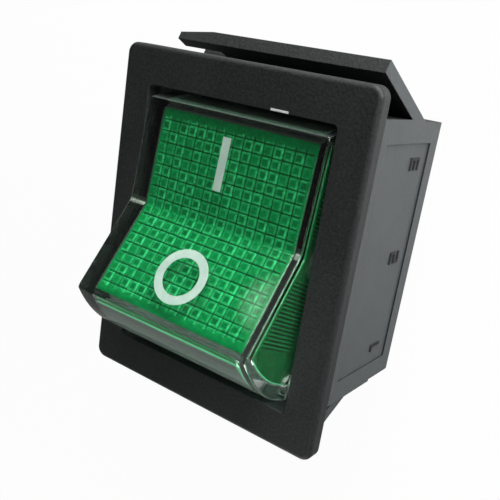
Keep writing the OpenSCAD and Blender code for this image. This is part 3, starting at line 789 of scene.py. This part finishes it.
@dataclass
class RockerShell:
    """A moulded shell of the rocker: an outer and an inner skin joined round their rims."""

    name: str
    stands_for: str
    finish_slot: str
    wall: float  # thickness of the sides and ends
    top: float  # thickness under the faces
    edge: float
    face_angle: float
    slot: float
    pose: RockerPose
    fold: float = 0.22
    relief: Relief | None = None
    rows: int = 120  # points along a face and across it, where it has no relief
    columns: int = 40
    bend_rows: int = 10
    end_rows: int = 26
    side_columns: int = 8
    fillet_columns: int = 5
    at_crease: float = 0.01  # a CAD point this near the middle lies on the crease
    corner_gap: float = 1.5  # edge radii between a face's last row and its corner
    on_face: float = 0.05  # a row this near the face's plane carries relief
    end_drop: float = 0.4  # how far below the face's plane an end's mark begins
    end_from: float = 0.6  # and how far out, as a share of the radius
    sharp: float = 28.0  # degrees between faces, from which an edge stays sharp

    def measured(self) -> ShellSkin:
        """Reads the outer skin's sizes off the CAD node it stands for.

        Returns:
            The outer skin.
        """
        points = self.pose.to_rocker(node_points(self.stands_for))
        middle = points[np.abs(points[:, 1]) < self.at_crease]
        return ShellSkin(
            half=float(np.abs(points[:, 0]).max()),
            radius=float(np.hypot(points[:, 1], points[:, 2]).max()),
            crease=float(middle[:, 2].max()),
            skirt=float(-points[:, 2].min()),
            face_angle=self.face_angle,
            edge=self.edge,
            slot=self.slot,
            fold=self.fold,
        )

    def face_stations(self, length: float) -> np.ndarray:
        """Gives the rows' distances along a face; the prisms' seams fall on rows.

        Args:
            length: The face's length.

        Returns:
            Distances from the crease.
        """
        if self.relief is None:
            return np.linspace(0, length, self.rows)
        count = int(math.ceil(length / self.relief.pitch_along * self.relief.steps))
        return np.arange(count) * self.relief.pitch_along / self.relief.steps

    def angles(self, skin: ShellSkin) -> np.ndarray:
        """Gives the rows' directions about the pivot, from the O end's skirt to the I end's.

        A point s along a face lies s times the cosine of its angle out from the
        pivot, and s times the sine above the crease. Even steps round the
        corner and down the end follow.

        Args:
            skin: The outer skin.

        Returns:
            Directions in radians from the I end.
        """
        length, c, s = skin.face_length, math.cos(skin.face_angle), math.sin(skin.face_angle)
        station = self.face_stations(length)
        station = station[station < length - self.corner_gap * skin.edge]
        face = np.arctan2(skin.crease + station * s, station * c)
        corner = math.atan2(skin.crease + length * s, length * c)
        bend = np.linspace(face[-1], corner - skin.merge / skin.radius, self.bend_rows)[1:]
        low = -math.asin(skin.skirt / skin.radius)
        end = np.linspace(bend[-1], low, self.end_rows)[1:]
        half = np.concatenate([face, bend, end])
        return np.concatenate([math.pi - half[::-1], half[1:]])

    def across(self, skin: ShellSkin) -> np.ndarray:
        """Gives the columns' places across the roof; the prisms' seams fall on columns.

        Args:
            skin: The outer skin.

        Returns:
            Places between the two fillets.
        """
        flat = skin.half - skin.edge
        if self.relief is None:
            return np.linspace(-flat, flat, self.columns)
        step = self.relief.pitch_across / self.relief.steps
        count = int(flat / step)
        inner = np.arange(-count, count + 1) * step
        return np.concatenate([[-flat], inner[np.abs(inner) < flat - step / 3], [flat]])

    def skin_points(
        self, skin: ShellSkin, angle: np.ndarray, across: np.ndarray, relief: Relief | None
    ) -> tuple[np.ndarray, dict[str, np.ndarray]]:
        """Works out one skin as a grid: a row for each direction, from side to side.

        On a side the row runs straight from the slot's line to the outline. On a
        fillet of radius e, at turn t, it stands in by e (1 - cos t) and the
        outline is drawn in by e (1 - sin t). On the roof the relief lowers it
        square to the face.

        Args:
            skin: The skin's sizes.
            angle: The rows' directions.
            across: The roof columns' places.
            relief: The prisms, or None for a plain roof.

        Returns:
            Points (rows x columns x 3), and the marks that the finishes read, by name.
        """
        direction = np.stack([np.cos(angle), np.sin(angle)], axis=-1)
        spread = np.linspace(0, 1, self.side_columns + 1)[:-1]
        turn = np.linspace(0, math.pi / 2, self.fillet_columns)
        slot = skin.slot_line(angle)
        rim = skin.outline(angle, skin.edge)[:, None] * direction
        side = slot[:, None, :] + spread[None, :, None] * (rim - slot)[:, None, :]
        inset = skin.edge * (1 - np.sin(turn))
        fillet = np.stack([skin.outline(angle, d)[:, None] * direction for d in inset], axis=1)
        fillet_x = skin.half - skin.edge * (1 - np.cos(turn))
        roof = skin.outline(angle, 0.0)
        roof_yz = np.repeat((roof[:, None] * direction)[:, None, :], len(across), axis=1)
        depth = glint_paint = np.zeros((len(angle), len(across)))
        if relief is not None:
            c, s = math.cos(skin.face_angle), math.sin(skin.face_angle)
            along = np.abs(roof * np.cos(angle)) / c
            flat = np.abs(np.sin(angle) * roof - skin.crease - along * s) < self.on_face
            inside = relief.inside(along, across, skin.face_length, skin.half) * flat[:, None]
            # the relief's depth, and the painted glint that the lens's finish reads
            depth, glint_paint = (part * inside for part in relief.marks(along, across))
            down = np.stack([np.sign(np.cos(angle)) * s, np.full_like(angle, -c)], axis=-1)
            roof_yz += relief.depth * depth[:, :, None] * down[:, None, :]
        border = np.concatenate([side, fillet], axis=1)
        border_x = np.concatenate([np.full(len(spread), skin.half), fillet_x])
        yz = np.concatenate([border, roof_yz[:, 1:-1], border[:, ::-1]], axis=1)
        x_row = np.concatenate([-border_x, across[1:-1], border_x[::-1]])
        x = np.broadcast_to(x_row, yz.shape[:2])
        plain = len(border_x)
        relief_mark, glint_paint_mark = (
            np.pad(part[:, 1:-1], ((0, 0), (plain, plain))) for part in (depth, glint_paint))
        on_side = np.isclose(np.abs(x), skin.half, rtol=0, atol=1e-6)
        out = np.abs(yz[..., 0])
        below = skin.crease + out * math.tan(skin.face_angle) - yz[..., 1] > self.end_drop
        on_end = below & (out > self.end_from * skin.radius) & ~on_side
        marks = {"relief": relief_mark, "glint_paint": glint_paint_mark, "rib": on_side, "end": on_end}
        return np.concatenate([x[:, :, None], yz], axis=-1), marks

    def build(self) -> bpy.types.Object:
        """Builds the closed shell with its marks, and puts it on the rocker.

        Returns:
            The shell's object.
        """
        outer = self.measured()
        drop = self.top / math.cos(self.face_angle)
        inner = ShellSkin(outer.half - self.wall, outer.radius - self.wall, outer.crease - drop,
                          outer.skirt, outer.face_angle, outer.edge, outer.slot, outer.fold)
        angle, across = self.angles(outer), self.across(outer)
        out, marks = self.skin_points(outer, angle, across, self.relief)
        narrower = across * (inner.half - inner.edge) / (outer.half - outer.edge)
        into, _ = self.skin_points(inner, self.inner_angles(angle, outer, inner), narrower, None)
        past = out.shape[0] * out.shape[1]
        number = np.arange(past).reshape(out.shape[:2])
        rims = ((number[0], True), (number[-1], False),
                (number[:, 0], False), (number[:, -1], True))
        faces = np.concatenate([
            grid_faces(number, False),
            grid_faces(number + past, True),
            *(grid_faces(np.stack([rim, rim + past]), flip) for rim, flip in rims),
        ])
        points = np.concatenate([out.reshape(-1, 3), into.reshape(-1, 3)])
        piece = mesh_piece(self.name, self.pose.to_row(points) * MM, faces)
        for label, values in marks.items():
            mark = piece.data.attributes.new(label, "FLOAT", "POINT")
            both = np.concatenate([values.ravel(), np.zeros(past)])
            mark.data.foreach_set("value", both.astype(np.float32))
        piece.data.set_sharp_from_angle(angle=math.radians(self.sharp))
        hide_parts(self.stands_for)
        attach(piece, "rocker")
        return piece

    def inner_angles(
        self, angle: np.ndarray, outer: ShellSkin, inner: ShellSkin
    ) -> np.ndarray:
        """Spreads the outer skin's directions evenly until they end on the inner skirt.

        Args:
            angle: The outer skin's directions.
            outer: The outer skin.
            inner: The inner skin.

        Returns:
            The inner skin's directions.
        """
        low_out = math.asin(outer.skirt / outer.radius)
        low_in = math.asin(inner.skirt / inner.radius)
        spread = (angle - math.pi / 2) / (math.pi / 2 + low_out)
        return math.pi / 2 + spread * (math.pi / 2 + low_in)


# ---------- springs ----------
@dataclass
class PlungerSpring:
    """A plunger's coil spring, closed at both ends."""

    side: str
    pose: RockerPose
    finish_slot: str = "spring_steel"
    wire: float = 0.2  # radius of the wire
    turns: float = 5.0
    closed: float = 0.75  # turns at each end that lie on their neighbour
    closed_pitch: float = 0.42
    per_turn: int = 36
    ring: int = 12
    sharp: float = 50.0  # degrees between faces, from which an edge stays sharp

    def build(self) -> bpy.types.Object:
        """Winds the spring between the carrier and the plunger's collar.

        The middle of the wire climbs by the closed pitch per turn at both ends
        and evenly between them. Each ring of the wire lies in the plane through
        the spring's axis, and flat rows of faces across it close the two ends.

        Returns:
            The spring's object.
        """
        space = self.pose.to_rocker(node_points(f"plunger_spring_{self.side}"))
        low, high = space.min(axis=0), space.max(axis=0)
        radius, middle = (high[0] - low[0]) / 2 - self.wire, (high[0] + low[0]) / 2
        start, stop = low[2] + self.wire, high[2] - self.wire
        turn = np.linspace(0, self.turns, int(self.turns * self.per_turn) + 1)
        rise = self.closed * self.closed_pitch
        climb = np.interp(turn, [0, self.closed, self.turns - self.closed, self.turns],
                          [start, start + rise, stop - rise, stop])
        a = 2 * math.pi * turn[:, None]
        b = 2 * math.pi * np.arange(self.ring)[None, :] / self.ring
        out = radius + self.wire * np.cos(b)
        points = np.stack([middle + out * np.cos(a), out * np.sin(a),
                           climb[:, None] + self.wire * np.sin(b)], axis=-1).reshape(-1, 3)
        number = np.arange(len(points)).reshape(-1, self.ring)
        around = np.roll(number, -1, axis=1)
        tube = np.stack([number[:-1], number[1:], around[1:], around[:-1]], axis=-1)
        k = np.arange(self.ring // 2 - 1)
        end = np.stack([k, k + 1, self.ring - 2 - k, self.ring - 1 - k], axis=-1)
        faces = np.concatenate([tube.reshape(-1, 4), end, end[:, ::-1] + number[-1, 0]])
        piece = mesh_piece(f"coil_spring_{self.side}", self.pose.to_row(points) * MM, faces)
        piece.data.set_sharp_from_angle(angle=math.radians(self.sharp))
        held, pressed = self.pose.to_row(np.array([[middle, 0, stop], [middle, 0, start]])) * MM
        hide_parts(f"plunger_spring_{self.side}")
        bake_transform(piece)
        return piece


# ---------- stage ----------
@dataclass(frozen=True)
class SoftLight:
    """One square soft light that faces the switch."""

    name: str
    place: Triple
    size: float
    watts: float

    def hang(self) -> None:
        """Makes the light at its place, turned towards the origin."""
        data = bpy.data.lights.new(self.name, "AREA")
        data.shape, data.size, data.energy = "SQUARE", self.size * MM, self.watts
        made = bpy.data.objects.new(self.name, data)
        bpy.context.scene.collection.objects.link(made)
        spot = Vector(self.place) * MM
        turn = spot.to_track_quat("Z", "Y").to_matrix().to_4x4()
        made.matrix_world = Matrix.Translation(spot) @ turn


@dataclass
class Studio:
    """A pale floor, soft lights, a room to mirror and the camera."""

    centre: Triple = (2.80, 0.09, 0.0)
    distance: float = 60.54
    azimuth: float = 117.58  # degrees, as are the next two
    elevation: float = 53.18
    roll: float = -9.155
    lens: float = 51.2
    sensor: float = 36.0
    floor_half: float = 3.0  # metres
    floor_drop: float = 0.02
    floor_colour: str = "f2f3f3"
    floor_white: float = 0.95  # share of plain white that the camera sees on the floor
    sheen: Span = (0.2, 0.7)  # the floor in mirrored rays, from the dim side to the window's
    sheen_at: Span = (-22.0, 14.0)
    through: float = 0.35  # what is left of it in rays that pass through the cap
    window: Triple = (0.25, 0.93, 0.27)  # direction in which the room is brightest
    room: Span = (0.05, 0.9)  # the room's glow, away from the window and at it
    room_from: float = 0.62
    backdrop: float = 0.1  # white in the low part of the mirrored room
    backdrop_at: Span = (0.35, 0.1)
    patch: Triple = (-0.481, 0.650, 0.588)  # a small soft glow that the rim mirrors
    patch_glow: float = 1.7
    patch_from: float = 0.9983
    lights: tuple[SoftLight, ...] = (
        SoftLight("key_light", (60, 290, 70), 150, 1.15),
        SoftLight("fill_light", (190, 110, 50), 110, 0.3),
        SoftLight("glint_light", (114, 169, 190), 120, 0.1),
        SoftLight("top_light", (80, 15, 240), 60, 0.03),
        SoftLight("low_light", (-30, -250, 60), 100, 0.28),
    )

    def camera(self) -> None:
        """Places the camera, turned about its own axis by the roll from the panel's Y."""
        a, e, r = (math.radians(v) for v in (self.azimuth, self.elevation, self.roll))
        back = Vector((math.sin(a) * math.cos(e), -math.cos(a) * math.cos(e), math.sin(e)))
        level = (Vector((0, 1, 0)) - back * back.y).normalized()
        side = (-back).cross(level)
        up = math.cos(r) * level + math.sin(r) * side
        right = up.cross(back)
        data = bpy.data.cameras.new("camera")
        data.lens, data.sensor_width = self.lens, self.sensor
        data.clip_start, data.clip_end = 0.001, 10.0
        made = bpy.data.objects.new("camera", data)
        bpy.context.scene.collection.objects.link(made)
        turn = Matrix((right, up, back)).transposed().to_4x4()
        spot = (Vector(self.centre) + back * self.distance) * MM
        made.matrix_world = Matrix.Translation(spot) @ turn
        bpy.context.scene.camera = made

    def floor(self) -> None:
        """Lays a pale floor just under the terminals, white to the camera but still shaded."""
        low = np.array([0, 0, CAD_BOX[0].z - self.floor_drop * MM])
        square = np.array([[-1, -1, 0], [1, -1, 0], [1, 1, 0], [-1, 1, 0]])
        corner = square * self.floor_half + low
        plane = mesh_piece("studio_floor", corner, np.array([[0, 1, 2, 3]]))
        made, node = new_material("studio_floor_paper")
        path = node("LightPath").outputs
        at = node("TexCoord").outputs
        toward = node("VectorMath", {0: at["Object"], 1: self.window}, operation="DOT_PRODUCT")
        sheen = node("MapRange", {
            "Value": toward.outputs["Value"],
            "From Min": self.sheen_at[0] * MM, "From Max": self.sheen_at[1] * MM,
            "To Min": self.sheen[0], "To Max": self.sheen[1]})
        through = node("MapRange", {
            "Value": path["Is Transmission Ray"], "To Min": 1.0, "To Max": self.through})
        dimmed = node("Math", {0: sheen, 1: through}, operation="MULTIPLY")
        glow = node("Math", {0: path["Is Camera Ray"], 1: dimmed}, operation="MAXIMUM")
        mirrored = node("Math", {
            0: path["Is Glossy Ray"], 1: path["Is Transmission Ray"]}, operation="MAXIMUM")
        seen = node("Math", {0: path["Is Camera Ray"], 1: self.floor_white}, operation="MULTIPLY")
        share = node("Math", {0: seen, 1: mirrored}, operation="MAXIMUM")
        paper = node("BsdfDiffuse", {"Color": linear(self.floor_colour)})
        white = node("Emission", {"Color": WHITE, "Strength": glow})
        both = node("MixShader", {0: share, 1: paper, 2: white})
        node("OutputMaterial", {0: both})
        dress(plane, made)

    def world(self) -> None:
        """Makes a soft room: dim all round, bright by the window, white past the floor."""
        world = bpy.data.worlds.new("soft_room")
        bpy.context.scene.world = world
        world.use_nodes = True
        world.node_tree.nodes.clear()
        node = partial(add, world.node_tree)
        path = node("LightPath").outputs
        toward = node("TexCoord").outputs["Generated"]
        up = node("SeparateXYZ", {0: toward})
        low = node("MapRange", {
            "Value": up.outputs["Z"], "From Min": self.backdrop_at[0],
            "From Max": self.backdrop_at[1], "To Max": self.backdrop})
        mirrored = node("Math", {
            0: path["Is Glossy Ray"], 1: path["Is Transmission Ray"]}, operation="MAXIMUM")
        backdrop = node("Math", {0: mirrored, 1: low}, operation="MULTIPLY")
        seen = node("Math", {0: path["Is Camera Ray"], 1: backdrop}, operation="MAXIMUM")
        facing = node("VectorMath", {0: toward, 1: self.window}, operation="DOT_PRODUCT")
        glow = node("MapRange", {
            "Value": facing.outputs["Value"], "From Min": self.room_from, "From Max": 1.0,
            "To Min": self.room[0], "To Max": self.room[1]})
        near = node("VectorMath", {0: toward, 1: self.patch}, operation="DOT_PRODUCT")
        patch = node("MapRange", {
            "Value": near.outputs["Value"], "From Min": self.patch_from, "From Max": 1.0,
            "To Max": self.patch_glow}, interpolation_type="SMOOTHSTEP")
        all_glow = node("Math", {0: glow, 1: patch}, operation="ADD")
        room = node("Background", {"Color": WHITE, "Strength": all_glow})
        white = node("Background", {"Color": WHITE, "Strength": 1.0})
        both = node("MixShader", {0: seen, 1: room, 2: white})
        node("OutputWorld", {0: both})

    def build(self) -> None:
        """Sets up the camera, the floor, the lights, the room and the view transform."""
        self.camera()
        self.floor()
        LOG.info("studio_floor: white paper")
        for light in self.lights:
            light.hang()
            LOG.info("%s: soft square light", light.name)
        self.world()
        bpy.context.scene.view_settings.view_transform = "Standard"


@dataclass
class Rocker:
    """The rocker as one sees it: clear cap over green prism lens."""

    pose: RockerPose
    face_angle: float = 14.5  # degrees
    trunnion_slot: float = 1.3
    cap_wall: float = 1.1
    cap_top: float = 1.4
    cap_edge: float = 0.18
    cap_fold: float = 0.06
    lens_wall: float = 1.2
    lens_edge: float = 0.22
    relief: Relief = field(default_factory=Relief)

    def build(self) -> None:
        """Builds and dresses the cap and the lens on the rocker's pivot."""
        slope = math.radians(self.face_angle)
        cap = RockerShell(
            "clear_cap", "rocker_cap", "cap_clear", self.cap_wall, self.cap_top, self.cap_edge,
            slope, self.trunnion_slot, self.pose, self.cap_fold)
        dress(cap.build(), PolishedClearCap().material())
        LOG.info("clear_cap: polished clear polycarbonate")
        lens = RockerShell(
            "prism_lens", "rocker_lens", "lens_green", self.lens_wall, self.lens_wall,
            self.lens_edge, slope, self.trunnion_slot, self.pose, relief=self.relief)
        look = TintedPrismLens(self.pose.lean, self.pose.pivot[2], slope)
        dress(lens.build(), look.material())
        LOG.info("prism_lens: tinted prism polycarbonate")


@dataclass
class Mechanism:
    """The housing, what keeps its CAD shape, and the plungers' springs."""

    pose: RockerPose
    finishes: dict[str, Finish] = field(default_factory=lambda: NODE_FINISH)

    def build(self) -> None:
        """Dresses the housing and every node of the mechanism, and winds the springs."""
        made = {finish: finish.value.material() for finish in Finish}
        dress(frame["nodes"]["housing"], SparkErodedNylon().material())
        LOG.info("housing: spark-eroded nylon")
        for name, node in frame["nodes"].items():
            stem = name.removesuffix("_left").removesuffix("_right")
            if stem in self.finishes:
                dress(node, made[self.finishes[stem]])
                LOG.info("%s: %s", name, self.finishes[stem].value.name)
        for side in ("left", "right"):
            dress(PlungerSpring(side, self.pose).build(), made[Finish.SPRING])
            LOG.info("coil_spring_%s: %s", side, Finish.SPRING.value.name)


def main() -> None:
    """Builds the sub-assemblies in order."""
    logging.basicConfig(level=logging.INFO, format="%(message)s")
    joint = next(j for j in frame["joints"] if j["name"] == "rocker_pivot")
    low, high = joint["range_deg"]
    pose = RockerPose(tuple(v / MM for v in joint["pos_m"]), math.radians(high - low) / 2)
    Studio().build()
    Mechanism(pose).build()
    Rocker(pose).build()


if __name__ == "__main__":
    main()
